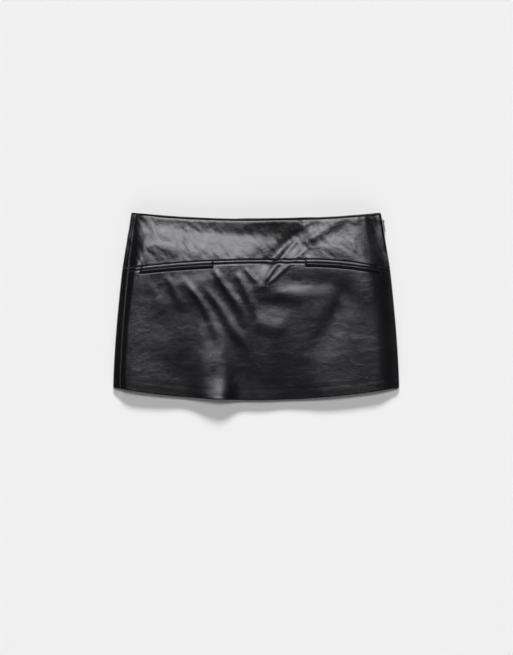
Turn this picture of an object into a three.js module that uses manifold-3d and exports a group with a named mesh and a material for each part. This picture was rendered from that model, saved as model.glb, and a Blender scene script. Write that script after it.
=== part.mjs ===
// Leather mini skirt lying flat on its back, front side up, in millimetres.
// +X is to the right across the front, +Y runs from hem to waist and +Z points up from the surface under it.
import * as THREE from 'three';
import { mergeVertices } from 'three/addons/utils/BufferGeometryUtils.js';
import Module from 'manifold-3d';

const wasm = await Module();
wasm.setup();

// Outline of the laid skirt.
const waistHalfWidth = 200;
const yokeEndHalfWidth = 214.6;
const hemHalfWidth = 229.2;
const waistCornerY = 150.5;
const yokeEndY = 60;
const hemCornerY = -130.5;
const waistSag = 10.3;
const hemSag = 20.1;
const backWaistLift = 1.2;

// Yoke seam, level in the middle and lower towards each side.
const seamTopY = 75.4;
const seamLeft = { startX: 30, reach: 210, drop: 10.9, power: 2.1 };
const seamRight = { startX: 70, reach: 106, drop: 7.7, power: 2.3 };

// Leather, turned edges and seams. An edge dips where it is stitched or turned.
const wall = 1.4;
const turnedExtra = 1.1;
const hemTurn = 17;
const waistTurn = 9;
const seamGap = 0.3;
const edgeDip = 0.5;
const edgeDipWidth = 1.8;

// Side folds, where the back wraps round to the front seams. The right seam is on the fold's side along the zip
// and comes up to the fold's shoulder below it.
const foldRadius = 3.8;
const leftStripWaist = 8.6;
const leftStripHem = 10.9;
const zipSeamAngle = Math.PI / 2;
const shoulderSeamAngle = 0.3;
const zipEndY = 102;
const shoulderStartY = 66;

// Welt pockets under the yoke seam, and the stitched band between them.
const upperLipWidth = 6.4;
const lowerLipWidth = 5.4;
const lipHeight = 0.9;
const lipDepth = 1.6;
const bandWidth = 6.4;
const bandHeight = 0.7;
const pockets = [
  { side: 'left', fromX: -184, toX: -70 },
  { side: 'right', fromX: 80, toX: 197 },
];

// Height of the front above the side folds, by level: 0 at the waist, 1 at the yoke seam and 2 at the hem. The
// drop to each side starts at that share of the half width.
const crownRows = [
  { level: 0, rise: 4.2, flatLeft: 0.92, flatRight: 0.83 },
  { level: 0.3, rise: 5.0, flatLeft: 0.91, flatRight: 0.83 },
  { level: 0.6, rise: 7.6, flatLeft: 0.9, flatRight: 0.82 },
  { level: 0.8, rise: 9.2, flatLeft: 0.9, flatRight: 0.83 },
  { level: 1, rise: 9.95, flatLeft: 0.92, flatRight: 0.85 },
  { level: 1.25, rise: 9.3, flatLeft: 0.93, flatRight: 0.86 },
  { level: 1.5, rise: 8.3, flatLeft: 0.94, flatRight: 0.87 },
  { level: 2, rise: 7.3, flatLeft: 0.94, flatRight: 0.89 },
];

// Largest folds of the front. Each runs between two points, bowed to the left of its way, with a height at its
// crest, negative in a hollow, and a half width that grows along it. Its ends rise over a share of its length.
const folds = [
  { name: 'ridge under pocket', fromX: -150, fromY: 36, toX: -56, toY: 28, bow: 0, height: 1.4, width: 22 },
  { name: 'long left ridge', fromX: -114, fromY: 48, toX: -44, toY: -88, bow: 4, height: 1.4, width: 7.5 },
  { name: 'second left ridge', fromX: -86, fromY: 34, toX: -10, toY: -80, bow: 2, height: 1.2, width: 7 },
  { name: 'third left ridge', fromX: -70, fromY: 64, toX: -14, toY: -36, bow: 2, height: 1.3, width: 7 },
  { name: 'middle ridge', fromX: -32, fromY: 58, toX: 0, toY: -22, bow: 1, height: 1.1, width: 7 },
  { name: 'swell under seam', fromX: 12, fromY: 13, toX: 98, toY: 17, bow: 3, height: 1.0, width: 12 },
  { name: 'bowl rim', fromX: -10, fromY: -8, toX: 62, toY: -20, bow: -20, height: 0.8, width: 12 },
  { name: 'long right hollow', fromX: 154, fromY: 54, toX: 54, toY: -130, bow: 8, height: -1.9, width: 20 },
  { name: 'left yoke swell', fromX: -194, fromY: 100, toX: -110, toY: 92, bow: 1, height: 1.9, width: 17 },
  { name: 'cross crease', fromX: 12, fromY: 35, toX: 80, toY: 122, bow: 4, height: 1.1, width: 7 },
];

// Rises and hollows that grow towards the hem and run out over it.
const slopes = [
  { name: 'hem ridge left', fromX: -92, fromY: 26, toX: -78, toY: -190, bow: 0, height: 7.2, width: 17 },
  { name: 'hem ridge right', fromX: -62, fromY: 10, toX: -52, toY: -190, bow: 0, height: 8.4, width: 16.5 },
  { name: 'left side rise', fromX: -190, fromY: 60, toX: -202, toY: -190, bow: 0, height: 4.2, width: 24 },
  { name: 'hollow left of ridge', fromX: -124, fromY: -20, toX: -116, toY: -190, bow: 0, height: -4.6, width: 19 },
  { name: 'hollow right of ridge', fromX: -30, fromY: -10, toX: -20, toY: -190, bow: 0, height: -4.6, width: 23 },
  { name: 'hollow in hem', fromX: 30, fromY: -25, toX: 53, toY: -190, bow: 0, height: -6.6, width: 41 },
];

// Rounded swells and hollows of the front: middle, reach and height.
const swells = [
  { name: 'dent at seam', x: 10, y: 73, reachX: 23, reachY: 18, height: -1.5 },
  { name: 'hollow at seam', x: 22, y: 92, reachX: 66, reachY: 32, height: -1.4 },
  { name: 'swell at waist', x: 26, y: 152, reachX: 72, reachY: 36, height: 2.8 },
  { name: 'right swell at waist', x: 134, y: 138, reachX: 62, reachY: 36, height: 2.4 },
];

// Zip slider and pull tab on the right side fold. Their own frame has x out from the fold and y up along the zip.
const zipAxisY = 136.5;
const sliderWidth = 4.8;
const sliderLength = 7;
const sliderPlate = 0.6;
const archThickness = 0.6;
const archWidth = 1.2;
const archPost = 0.8;
const archHole = 1.5;
const tabLength = 17;
const tabWidth = 4.2;
const tabThickness = 0.8;
const tabBar = 0.8;
const tabWindowLength = 2.4;
const tabWindowWidth = 1.9;

const lerp = THREE.MathUtils.lerp;
const clamp = THREE.MathUtils.clamp;
const smooth = THREE.MathUtils.smoothstep;
const halfGap = seamGap / 2;
const slitDepth = upperLipWidth;
const mouthDepth = upperLipWidth + lowerLipWidth + halfGap;

function halfWidth(y) {
  if (y > yokeEndY) {
    const up = (y - yokeEndY) / (waistCornerY - yokeEndY);
    return lerp(yokeEndHalfWidth, waistHalfWidth, up);
  }
  const down = clamp((yokeEndY - y) / (yokeEndY - hemCornerY), 0, 1);
  return lerp(yokeEndHalfWidth, hemHalfWidth, 1 - Math.pow(1 - down, 1.5));
}

// Half of the width that lies flat between the side folds.
function flatHalf(y) {
  return halfWidth(y) - foldRadius;
}

function waistY(x) {
  return waistCornerY - waistSag * (1 - Math.pow(x / waistHalfWidth, 2));
}

function hemY(x) {
  return hemCornerY - hemSag * (1 - Math.pow(x / hemHalfWidth, 2));
}

function seamY(x) {
  const left = x < seamLeft.startX;
  const side = left ? seamLeft : seamRight;
  const away = left ? side.startX - x : Math.max(0, x - side.startX);
  return seamTopY - side.drop * Math.pow(away / side.reach, side.power);
}

function levelAt(x, y) {
  const seam = seamY(x);
  const level = y > seam ? (waistY(x) - y) / (waistY(x) - seam) : 1 + (seam - y) / (seam - hemY(x));
  return clamp(level, 0, 2);
}

function crownAt(level) {
  const next = crownRows.findIndex((row, place) => place > 0 && level <= row.level);
  const above = crownRows[next - 1];
  const below = crownRows[next];
  const share = (level - above.level) / (below.level - above.level);
  return {
    rise: lerp(above.rise, below.rise, share),
    flatLeft: lerp(above.flatLeft, below.flatLeft, share),
    flatRight: lerp(above.flatRight, below.flatRight, share),
  };
}

function foldHeight(fold, x, y, startShare, endShare) {
  const alongX = fold.toX - fold.fromX;
  const alongY = fold.toY - fold.fromY;
  const length = Math.hypot(alongX, alongY);
  const share = ((x - fold.fromX) * alongX + (y - fold.fromY) * alongY) / (length * length);
  const across = (alongX * (y - fold.fromY) - alongY * (x - fold.fromX)) / length;
  const width = fold.width * (0.75 + 0.5 * clamp(share, 0, 1));
  const off = (across - fold.bow * 4 * share * (1 - share)) / width;
  const taper = smooth(share, 0, startShare) * (1 - smooth(share, 1 - endShare, 1));
  return fold.height * taper * Math.exp(-off * off);
}

function swellHeight(swell, x, y) {
  const away = Math.pow((x - swell.x) / swell.reachX, 2) + Math.pow((y - swell.y) / swell.reachY, 2);
  return swell.height * Math.exp(-away);
}

function frontHeight(x, y) {
  const share = Math.abs(x) / flatHalf(y);
  const crown = crownAt(levelAt(x, y));
  const drop = smooth(share, x < 0 ? crown.flatLeft : crown.flatRight, 1);
  let folded = folds.reduce((sum, fold) => sum + foldHeight(fold, x, y, 0.25, 0.35), 0);
  folded += slopes.reduce((sum, slope) => sum + foldHeight(slope, x, y, 1.27, 0.01), 0);
  folded += swells.reduce((sum, swell) => sum + swellHeight(swell, x, y), 0);
  return 2 * foldRadius + crown.rise * (1 - drop) + folded * (1 - smooth(share, 0.86, 0.98));
}

// The skirt is one flat tube. A place on it has a way round, in millimetres from the middle of the front towards
// the right, and a y. The way goes over the front, round the right fold, back underneath and up the left fold.
function roundWay(y) {
  return 4 * flatHalf(y) + 2 * Math.PI * foldRadius;
}

function tubePoint(way, y) {
  const flat = flatHalf(y);
  const wrapped = way > roundWay(y) / 2 ? way - roundWay(y) : way;
  const side = Math.sign(wrapped);
  const beyond = Math.abs(wrapped) - flat;
  if (beyond <= 0) {
    return new THREE.Vector3(wrapped, y, frontHeight(wrapped, y));
  }
  const turn = beyond / foldRadius;
  if (turn < Math.PI) {
    const x = flat + foldRadius * Math.sin(turn);
    return new THREE.Vector3(side * x, y, foldRadius * (1 + Math.cos(turn)));
  }
  return new THREE.Vector3(side * (flat - beyond + Math.PI * foldRadius), y, 0);
}

function tubeNormal(way, y) {
  const step = 0.4;
  const across = tubePoint(way + step, y).sub(tubePoint(way - step, y));
  const down = tubePoint(way, y - step).sub(tubePoint(way, y + step));
  return down.cross(across).normalize();
}

function leftSeamWay(y) {
  const share = clamp((waistCornerY - y) / (waistCornerY - hemCornerY), 0, 1);
  return lerp(leftStripWaist, leftStripHem, share) - halfWidth(y);
}

function rightSeamWay(y) {
  const angle = lerp(shoulderSeamAngle, zipSeamAngle, smooth(y, shoulderStartY, zipEndY));
  return flatHalf(y) + foldRadius * angle;
}

// How far an edge dips at a distance from it.
function dipAt(distance) {
  const near = clamp(1 - distance / edgeDipWidth, 0, 1);
  return -edgeDip * near * near;
}

// Extra thickness of a turned edge of that depth. It thins out towards the side folds, where the cloth bends.
function turnedAt(x, y, distance, depth) {
  const clearOfFold = smooth(flatHalf(y) - 2 * foldRadius - Math.abs(x), 0, foldRadius);
  return turnedExtra * clearOfFold * (1 - smooth(distance, depth - 1, depth));
}

// The shape of a piece at a place: how far its outer side is lifted off the tube, and its extra thickness.
function yokeShape(x, y) {
  const toWaist = Math.max(0, waistY(x) - y);
  const toSeam = Math.max(0, y - seamY(x));
  return { lift: dipAt(toSeam) + dipAt(toWaist), extra: turnedAt(x, y, toWaist, waistTurn) };
}

function backPanelShape(x, y) {
  const toHem = Math.max(0, y - hemY(x));
  const toSeam = Math.max(0, seamY(x) - y);
  return { lift: dipAt(toHem) + dipAt(toSeam), extra: turnedAt(x, y, toHem, hemTurn) };
}

// The front panel carries the stitched band, and its edge dips at the mouths of the pockets.
function frontPanelShape(x, y) {
  const below = seamY(x) - y;
  const band = bandHeight * Math.sin(Math.PI * clamp(below / bandWidth, 0, 1));
  const atPocket = pockets.some((pocket) => x > pocket.fromX - 1 && x < pocket.toX + 1);
  const mouth = atPocket ? dipAt(Math.max(0, below - mouthDepth)) : 0;
  const shape = backPanelShape(x, y);
  return { lift: shape.lift + band + mouth, extra: shape.extra };
}

// Stops from the first value to the last, with that many steps in each stretch between two values.
function spread(values, steps) {
  const stops = [values[0]];
  steps.forEach((count, stretch) => {
    for (let step = 1; step <= count; step += 1) {
      stops.push(lerp(values[stretch], values[stretch + 1], step / count));
    }
  });
  return stops;
}

// The same for values that depend on y.
function spreadLines(lines, steps) {
  const places = spread(lines.map((line, place) => place), steps);
  return places.map((place) => {
    const from = Math.min(Math.floor(place + 1e-9), lines.length - 2);
    return (y) => lerp(lines[from](y), lines[from + 1](y), place - from);
  });
}

// Where a line of stops across a piece and a row down it meet.
function placeOn(piece, column, down) {
  let y = 0;
  let way = 0;
  for (let round = 0; round < 10; round += 1) {
    way = piece.columns[column](y);
    y = piece.yAt(tubePoint(way, y).x, down, column / (piece.columns.length - 1));
  }
  return { way, y };
}

function closedGeometry(positions, indices) {
  const used = [...new Set(indices)].sort((a, b) => a - b);
  const renumbered = new Map(used.map((old, place) => [old, place]));
  const kept = used.flatMap((old) => positions.slice(3 * old, 3 * old + 3));
  const geometry = new THREE.BufferGeometry();
  geometry.setAttribute('position', new THREE.Float32BufferAttribute(kept, 3));
  geometry.setIndex(indices.map((old) => renumbered.get(old)));
  geometry.computeVertexNormals();
  return geometry;
}

// A closed wall of leather: its outer points follow the tube and its inner ones lie a thickness inside.
function leatherWall(piece) {
  const columns = piece.columns.length;
  const rows = piece.rows.length;
  const positions = [];
  const indices = [];
  for (const layer of [0, 1]) {
    for (let j = 0; j < rows; j += 1) {
      for (let i = 0; i < columns; i += 1) {
        const { way, y } = placeOn(piece, i, piece.rows[j]);
        const point = tubePoint(way, y);
        const flatUnder = point.z < 0.01;
        const toSide = Math.min(way - piece.columns[0](y), piece.columns[columns - 1](y) - way);
        const { lift, extra } = piece.shape(point.x, y);
        const outer = flatUnder ? 0 : lift + dipAt(toSide);
        const offset = layer === 0 ? outer : -(wall + extra);
        point.addScaledVector(tubeNormal(way, y), offset);
        positions.push(point.x, point.y, point.z);
      }
    }
  }
  const corner = (layer, i, j) => (layer * rows + j) * columns + i;
  const quad = (a, b, c, d) => indices.push(a, b, c, a, c, d);
  const inside = (i, j) => i >= 0 && j >= 0 && i < columns - 1 && j < rows - 1;
  const kept = (i, j) => inside(i, j) && !(piece.cut && piece.cut(i, j));
  for (let j = 0; j < rows - 1; j += 1) {
    for (let i = 0; i < columns - 1; i += 1) {
      if (!kept(i, j)) {
        continue;
      }
      quad(corner(0, i, j), corner(0, i, j + 1), corner(0, i + 1, j + 1), corner(0, i + 1, j));
      quad(corner(1, i, j), corner(1, i + 1, j), corner(1, i + 1, j + 1), corner(1, i, j + 1));
      if (!kept(i - 1, j)) {
        quad(corner(0, i, j), corner(1, i, j), corner(1, i, j + 1), corner(0, i, j + 1));
      }
      if (!kept(i + 1, j)) {
        quad(corner(0, i + 1, j + 1), corner(1, i + 1, j + 1), corner(1, i + 1, j), corner(0, i + 1, j));
      }
      if (!kept(i, j - 1)) {
        quad(corner(0, i + 1, j), corner(1, i + 1, j), corner(1, i, j), corner(0, i, j));
      }
      if (!kept(i, j + 1)) {
        quad(corner(0, i, j + 1), corner(1, i, j + 1), corner(1, i + 1, j + 1), corner(0, i + 1, j + 1));
      }
    }
  }
  return closedGeometry(positions, indices);
}

// Lines of stops across the front. The ends of the pockets keep their share of the width at every height.
const shareLine = (x) => (y) => (x * flatHalf(y)) / flatHalf(yokeEndY);
const frontColumns = spreadLines(
  [
    (y) => leftSeamWay(y) + halfGap,
    (y) => leftSeamWay(y) + halfGap + edgeDipWidth,
    shareLine(pockets[0].fromX),
    shareLine(pockets[0].toX),
    shareLine(pockets[1].fromX),
    shareLine(pockets[1].toX),
    flatHalf,
    (y) => rightSeamWay(y) - halfGap,
  ],
  [1, 2, 13, 17, 10, 2, 3],
);
const leftPocketColumns = [3, 16];
const rightPocketColumns = [33, 43];

// Lines of stops across the back: round the right fold, under the skirt, round the left fold and over to the seam.
const foldWay = Math.PI * foldRadius;
const backColumns = spreadLines(
  [
    (y) => rightSeamWay(y) + halfGap,
    (y) => flatHalf(y) + foldWay,
    (y) => 3 * flatHalf(y) + foldWay,
    (y) => 3 * flatHalf(y) + 2 * foldWay,
    (y) => roundWay(y) + leftSeamWay(y) - halfGap,
  ],
  [6, 8, 7, 3],
);

// How far underneath a line of stops of the back lies, from its share of the way across.
function underneath(across) {
  return smooth(across, 0.25, 0.33) * (1 - smooth(across, 0.5, 0.58));
}

const yokeDepth = waistCornerY - yokeEndY;
const panelDepth = yokeEndY - hemCornerY;
const yokeRows = spread(
  [0, edgeDipWidth / yokeDepth, waistTurn / yokeDepth, 1 - edgeDipWidth / yokeDepth, 1],
  [1, 1, 7, 1],
);
const bandRowDepths = [0, edgeDipWidth, 0.7 * bandWidth, bandWidth, mouthDepth];

// Rows of the front panel: from -1 to 0 beside the pockets, and from 0 at their mouths to 1 at the hem.
const bandRows = bandRowDepths.map((depth) => depth / mouthDepth - 1);
const bodyRows = spread(
  [0, edgeDipWidth / panelDepth, 1 - hemTurn / panelDepth, 1 - edgeDipWidth / panelDepth, 1],
  [1, 19, 1, 1],
);
const panelRows = [...bandRows, ...bodyRows.slice(1)];

function cutForPockets(i, j) {
  const between = ([first, last]) => i >= first && i < last;
  return j < bandRows.length - 1 && (between(leftPocketColumns) || between(rightPocketColumns));
}

const pieces = {
  front_yoke: {
    columns: frontColumns,
    rows: yokeRows,
    yAt: (x, down) => lerp(waistY(x), seamY(x) + halfGap, down),
    shape: yokeShape,
  },
  front_panel: {
    columns: frontColumns,
    rows: panelRows,
    cut: cutForPockets,
    yAt: (x, down) => {
      if (down <= 0) {
        return seamY(x) - lerp(halfGap, mouthDepth, down + 1);
      }
      return lerp(seamY(x) - mouthDepth, hemY(x), down);
    },
    shape: frontPanelShape,
  },
  back_yoke: {
    columns: backColumns,
    rows: yokeRows,
    yAt: (x, down, across) => {
      return lerp(waistY(x) + backWaistLift * underneath(across), seamY(x) + halfGap, down);
    },
    shape: yokeShape,
  },
  back_panel: {
    columns: backColumns,
    rows: spread([0, 1 - hemTurn / panelDepth, 1], [8, 1]),
    yAt: (x, down) => lerp(seamY(x) - halfGap, hemY(x), down),
    shape: backPanelShape,
  },
};

// A folded strip along one edge of a pocket mouth, from its upper edge to its lower one: flat below, round on top.
const lipSection = [
  { share: 0, height: -lipDepth },
  { share: 0, height: 0 },
  { share: 0.16, height: 0.7 * lipHeight },
  { share: 0.42, height: lipHeight },
  { share: 0.7, height: 0.85 * lipHeight },
  { share: 0.92, height: 0.45 * lipHeight },
  { share: 1, height: -0.1 },
  { share: 1, height: -lipDepth },
];
const lipSteps = 16;

function weltLip(pocket, fromDepth, toDepth) {
  const positions = [];
  const indices = [];
  const around = lipSection.length;
  for (let step = 0; step <= lipSteps; step += 1) {
    const line = shareLine(lerp(pocket.fromX + seamGap, pocket.toX - seamGap, step / lipSteps));
    for (const corner of lipSection) {
      const depth = lerp(fromDepth, toDepth, corner.share);
      let y = yokeEndY;
      for (let round = 0; round < 6; round += 1) {
        y = seamY(line(y)) - depth;
      }
      const x = line(y);
      const point = tubePoint(x, y).addScaledVector(tubeNormal(x, y), corner.height);
      positions.push(point.x, point.y, point.z);
    }
  }
  for (let step = 0; step < lipSteps; step += 1) {
    for (let k = 0; k < around; k += 1) {
      const a = step * around + k;
      const b = step * around + ((k + 1) % around);
      indices.push(a, b, b + around, a, b + around, a + around);
    }
  }
  const last = lipSteps * around;
  for (let k = 1; k < around - 1; k += 1) {
    indices.push(0, k + 1, k);
    indices.push(last, last + k, last + k + 1);
  }
  return closedGeometry(positions, indices);
}

function toSolid(geometry) {
  const bare = geometry.clone();
  bare.deleteAttribute('normal');
  bare.deleteAttribute('uv');
  const merged = mergeVertices(bare, 1e-5);
  const mesh = new wasm.Mesh({
    numProp: 3,
    vertProperties: new Float32Array(merged.attributes.position.array),
    triVerts: new Uint32Array(merged.index.array),
  });
  return new wasm.Manifold(mesh);
}

function fromSolid(solid) {
  const mesh = solid.getMesh();
  return closedGeometry(Array.from(mesh.vertProperties), Array.from(mesh.triVerts));
}

// A flat outline in the plane of width and length, standing out from the fold from one height to another.
function plateGeometry(outline, fromHeight, thickness) {
  const geometry = new THREE.ExtrudeGeometry(outline, {
    depth: thickness,
    bevelEnabled: false,
    curveSegments: 6,
  });
  // The outline's x becomes z and its own z becomes x.
  geometry.rotateY(Math.PI / 2);
  geometry.translate(fromHeight, 0, 0);
  return geometry;
}

function roundedOutline(fromY, toY, width, radius) {
  const half = width / 2;
  const outline = new THREE.Shape();
  outline.moveTo(-half + radius, fromY);
  outline.lineTo(half - radius, fromY);
  outline.absarc(half - radius, fromY + radius, radius, -Math.PI / 2, 0, false);
  outline.lineTo(half, toY - radius);
  outline.absarc(half - radius, toY - radius, radius, 0, Math.PI / 2, false);
  outline.lineTo(-half + radius, toY);
  outline.absarc(-half + radius, toY - radius, radius, Math.PI / 2, Math.PI, false);
  outline.lineTo(-half, fromY + radius);
  outline.absarc(-half + radius, fromY + radius, radius, Math.PI, 1.5 * Math.PI, false);
  return outline;
}

const plateTop = seamGap + sliderPlate;
const tabAxisX = plateTop + archHole / 2;

function sliderGeometry() {
  const plate = plateGeometry(
    roundedOutline(-sliderLength / 2, sliderLength / 2, sliderWidth, 1.2),
    seamGap,
    sliderPlate,
  );
  const reach = archHole / 2 + archPost;
  const top = plateTop + archHole + archThickness;
  const profile = new THREE.Shape();
  profile.moveTo(plateTop - sliderPlate / 2, -reach);
  profile.lineTo(top - 0.4, -reach);
  profile.quadraticCurveTo(top, -reach, top, -reach + 0.4);
  profile.lineTo(top, reach - 0.4);
  profile.quadraticCurveTo(top, reach, top - 0.4, reach);
  profile.lineTo(plateTop - sliderPlate / 2, reach);
  profile.closePath();
  const hole = new THREE.Path();
  hole.moveTo(plateTop, -archHole / 2);
  hole.lineTo(plateTop, archHole / 2);
  hole.lineTo(plateTop + archHole, archHole / 2);
  hole.lineTo(plateTop + archHole, -archHole / 2);
  hole.closePath();
  profile.holes.push(hole);
  const arch = new THREE.ExtrudeGeometry(profile, { depth: archWidth, bevelEnabled: false, curveSegments: 3 });
  arch.translate(0, 0, -archWidth / 2);
  return fromSolid(toSolid(plate).add(toSolid(arch)));
}

// The pull tab hangs down the zip from its bar, which passes through the slider's arch.
function tabGeometry() {
  const outline = roundedOutline(-tabLength, tabBar / 2, tabWidth, 1.1);
  const window = new THREE.Path();
  const half = tabWindowWidth / 2;
  window.moveTo(-half, -tabBar / 2);
  window.lineTo(-half, -tabBar / 2 - tabWindowLength);
  window.lineTo(half, -tabBar / 2 - tabWindowLength);
  window.lineTo(half, -tabBar / 2);
  window.closePath();
  outline.holes.push(window);
  return plateGeometry(outline, tabAxisX - tabThickness / 2, tabThickness);
}

function namedMesh(name, geometry, material) {
  const mesh = new THREE.Mesh(geometry, material);
  mesh.name = name;
  return mesh;
}

const leather = new THREE.MeshStandardMaterial({ color: 0x161618, roughness: 0.34, metalness: 0 });
const lipLeather = new THREE.MeshStandardMaterial({ color: 0x131315, roughness: 0.3, metalness: 0 });
const zipMetal = new THREE.MeshStandardMaterial({ color: 0x2a2a2c, roughness: 0.3, metalness: 1 });

const skirt = new THREE.Group();
for (const [name, piece] of Object.entries(pieces)) {
  skirt.add(namedMesh(name, leatherWall(piece), leather.clone()));
}
for (const pocket of pockets) {
  const upper = weltLip(pocket, halfGap, slitDepth - halfGap);
  const lower = weltLip(pocket, slitDepth + halfGap, mouthDepth - seamGap);
  skirt.add(namedMesh(`${pocket.side}_upper_lip`, upper, lipLeather.clone()));
  skirt.add(namedMesh(`${pocket.side}_lower_lip`, lower, lipLeather.clone()));
}

const zip = new THREE.Group();
const edgeSlope = (yokeEndHalfWidth - waistHalfWidth) / (waistCornerY - yokeEndY);
zip.position.set(halfWidth(zipAxisY), zipAxisY, foldRadius);
zip.rotation.z = Math.atan(edgeSlope);
zip.add(namedMesh('zip_slider', sliderGeometry(), zipMetal.clone()));
zip.add(namedMesh('zip_pull', tabGeometry(), zipMetal.clone()));
skirt.add(zip);

export default skirt;
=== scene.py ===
import math

import bmesh
import bpy
import numpy as np
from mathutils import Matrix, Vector


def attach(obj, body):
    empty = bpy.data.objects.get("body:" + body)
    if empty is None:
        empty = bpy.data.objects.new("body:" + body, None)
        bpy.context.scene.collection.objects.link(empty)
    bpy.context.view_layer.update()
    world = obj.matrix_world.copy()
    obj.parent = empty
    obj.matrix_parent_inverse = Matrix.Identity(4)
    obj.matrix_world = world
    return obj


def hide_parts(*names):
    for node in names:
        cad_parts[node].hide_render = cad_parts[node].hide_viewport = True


# Black leather mini skirt laid flat on its back, front side up, on a pale floor, seen from straight above.
# Shapes are worked out in millimetres and become metres when a mesh is made.
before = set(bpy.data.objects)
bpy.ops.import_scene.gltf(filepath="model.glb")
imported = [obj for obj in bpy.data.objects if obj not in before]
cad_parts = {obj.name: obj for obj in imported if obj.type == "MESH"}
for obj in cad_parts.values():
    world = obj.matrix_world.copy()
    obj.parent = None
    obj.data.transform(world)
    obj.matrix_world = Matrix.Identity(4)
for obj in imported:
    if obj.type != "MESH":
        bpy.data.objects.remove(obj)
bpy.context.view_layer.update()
mm = 0.001
print("frame loaded:", sorted(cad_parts))

# The skirt's outline as it lies, the same on both sides of x = 0.
outline = {
    "waistHalfWidth": 200,
    "yokeEndHalfWidth": 214.6,
    "hemHalfWidth": 229.2,
    "flarePower": 1.5,
    "waistCornerY": 150.5,
    "yokeEndY": 60,
    "hemCornerY": -130.5,
    "waistSag": 10.3,
    "hemSag": 20.1,
    "backWaistLift": 1.2,
    "foldRadius": 3.8,
}
# The yoke seam falls away from its top at both ends. The left side seam shows as a strip, and the right one
# has the zip.
seam = {
    "topY": 75.4,
    "left": {"startX": 30, "reach": 210, "drop": 10.9, "power": 2.1},
    "right": {"startX": 70, "reach": 106, "drop": 7.7, "power": 2.3},
    "gap": 0.3,
    "leftStripWaist": 8.6,
    "leftStripHem": 10.9,
    "zipAngle": math.pi / 2,
    "zipEndY": 102,
    "shoulderAngle": 0.3,
    "shoulderStartY": 66,
}
# Pocket mouths, each with two lips, in line with the sewn band under the yoke seam.
mouth = {
    "leftFromX": -184,
    "leftToX": -70,
    "rightFromX": 80,
    "rightToX": 197,
    "upperLip": 6.4,
    "lowerLip": 5.4,
    "band": 6.4,
    "bandHeight": 0.5,
    "grooveDepth": 0.4,
    "grooveWidth": 0.8,
    "endDepth": 0.7,
    "endWidth": 1.4,
    "endBelow": 0.2,
}
halfGap = seam["gap"] / 2
mouthDepth = mouth["upperLip"] + mouth["lowerLip"] + halfGap
radius = outline["foldRadius"]
foldWay = math.pi * radius


def smooth(value, low, high):
    t = np.clip((value - low) / (high - low), 0, 1)
    return t * t * (3 - 2 * t)


def soft(distance, width):
    return np.exp(-((distance / width) ** 2))


def halfWidth(y):
    rise = outline["waistCornerY"] - outline["yokeEndY"]
    up = (y - outline["yokeEndY"]) / rise
    upper = outline["yokeEndHalfWidth"] + up * (outline["waistHalfWidth"] - outline["yokeEndHalfWidth"])
    down = np.clip((outline["yokeEndY"] - y) / (outline["yokeEndY"] - outline["hemCornerY"]), 0, 1)
    flare = outline["hemHalfWidth"] - outline["yokeEndHalfWidth"]
    lower = outline["yokeEndHalfWidth"] + flare * (1 - (1 - down) ** outline["flarePower"])
    return np.where(y > outline["yokeEndY"], upper, lower)


def flatHalf(y):
    return halfWidth(y) - radius


def waistY(x):
    return outline["waistCornerY"] - outline["waistSag"] * (1 - (x / outline["waistHalfWidth"]) ** 2)


def hemY(x):
    return outline["hemCornerY"] - outline["hemSag"] * (1 - (x / outline["hemHalfWidth"]) ** 2)


def seamY(x):
    left, right = seam["left"], seam["right"]
    leftDrop = left["drop"] * (np.maximum(0, left["startX"] - x) / left["reach"]) ** left["power"]
    rightDrop = right["drop"] * (np.maximum(0, x - right["startX"]) / right["reach"]) ** right["power"]
    return seam["topY"] - leftDrop - rightDrop


# Height of the front above the side folds. Level 0 is the waist, 1 the yoke seam and 2 the hem.
crown = {
    "level": [0, 0.12, 0.3, 0.6, 0.8, 0.92, 1, 1.06, 1.25, 1.5, 2],
    "rise": [4.2, 4.25, 4.95, 7.4, 8.95, 9.55, 9.8, 9.85, 9.2, 8.2, 7.2],
    "flatLeft": [0.89, 0.89, 0.88, 0.87, 0.87, 0.88, 0.9, 0.9, 0.91, 0.92, 0.92],
    "flatRight": [0.75, 0.75, 0.75, 0.75, 0.76, 0.78, 0.8, 0.8, 0.81, 0.82, 0.84],
    "fallPower": 1.4,
    "foldsFadeFrom": 0.86,
    "foldsFadeTo": 0.98,
}
# Long rises and hollows that run out over the hem, in the same order as the folds.
slopes = {
    "hemRidgeLeft": ((-92, 26), (-70, -190), 0, 7.2, 17, 17, 1.3, 0.01),
    "hemRidgeRight": ((-62, 10), (-52, -190), 0, 8.4, 17, 16, 1.25, 0.01),
    "leftSideRise": ((-190, 60), (-202, -190), 0, 4.2, 26, 22, 1.36, 0.01),
    "hollowLeftOfHemRidge": ((-124, -20), (-116, -190), 0, -4.6, 18, 20, 1.25, 0.01),
    "hollowRightOfHemRidge": ((-30, -10), (-20, -190), 0, -4.6, 26, 20, 1.26, 0.01),
    "hollowInHem": ((30, -25), (53, -190), 0, -6.6, 42, 40, 1.23, 0.01),
}
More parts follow.
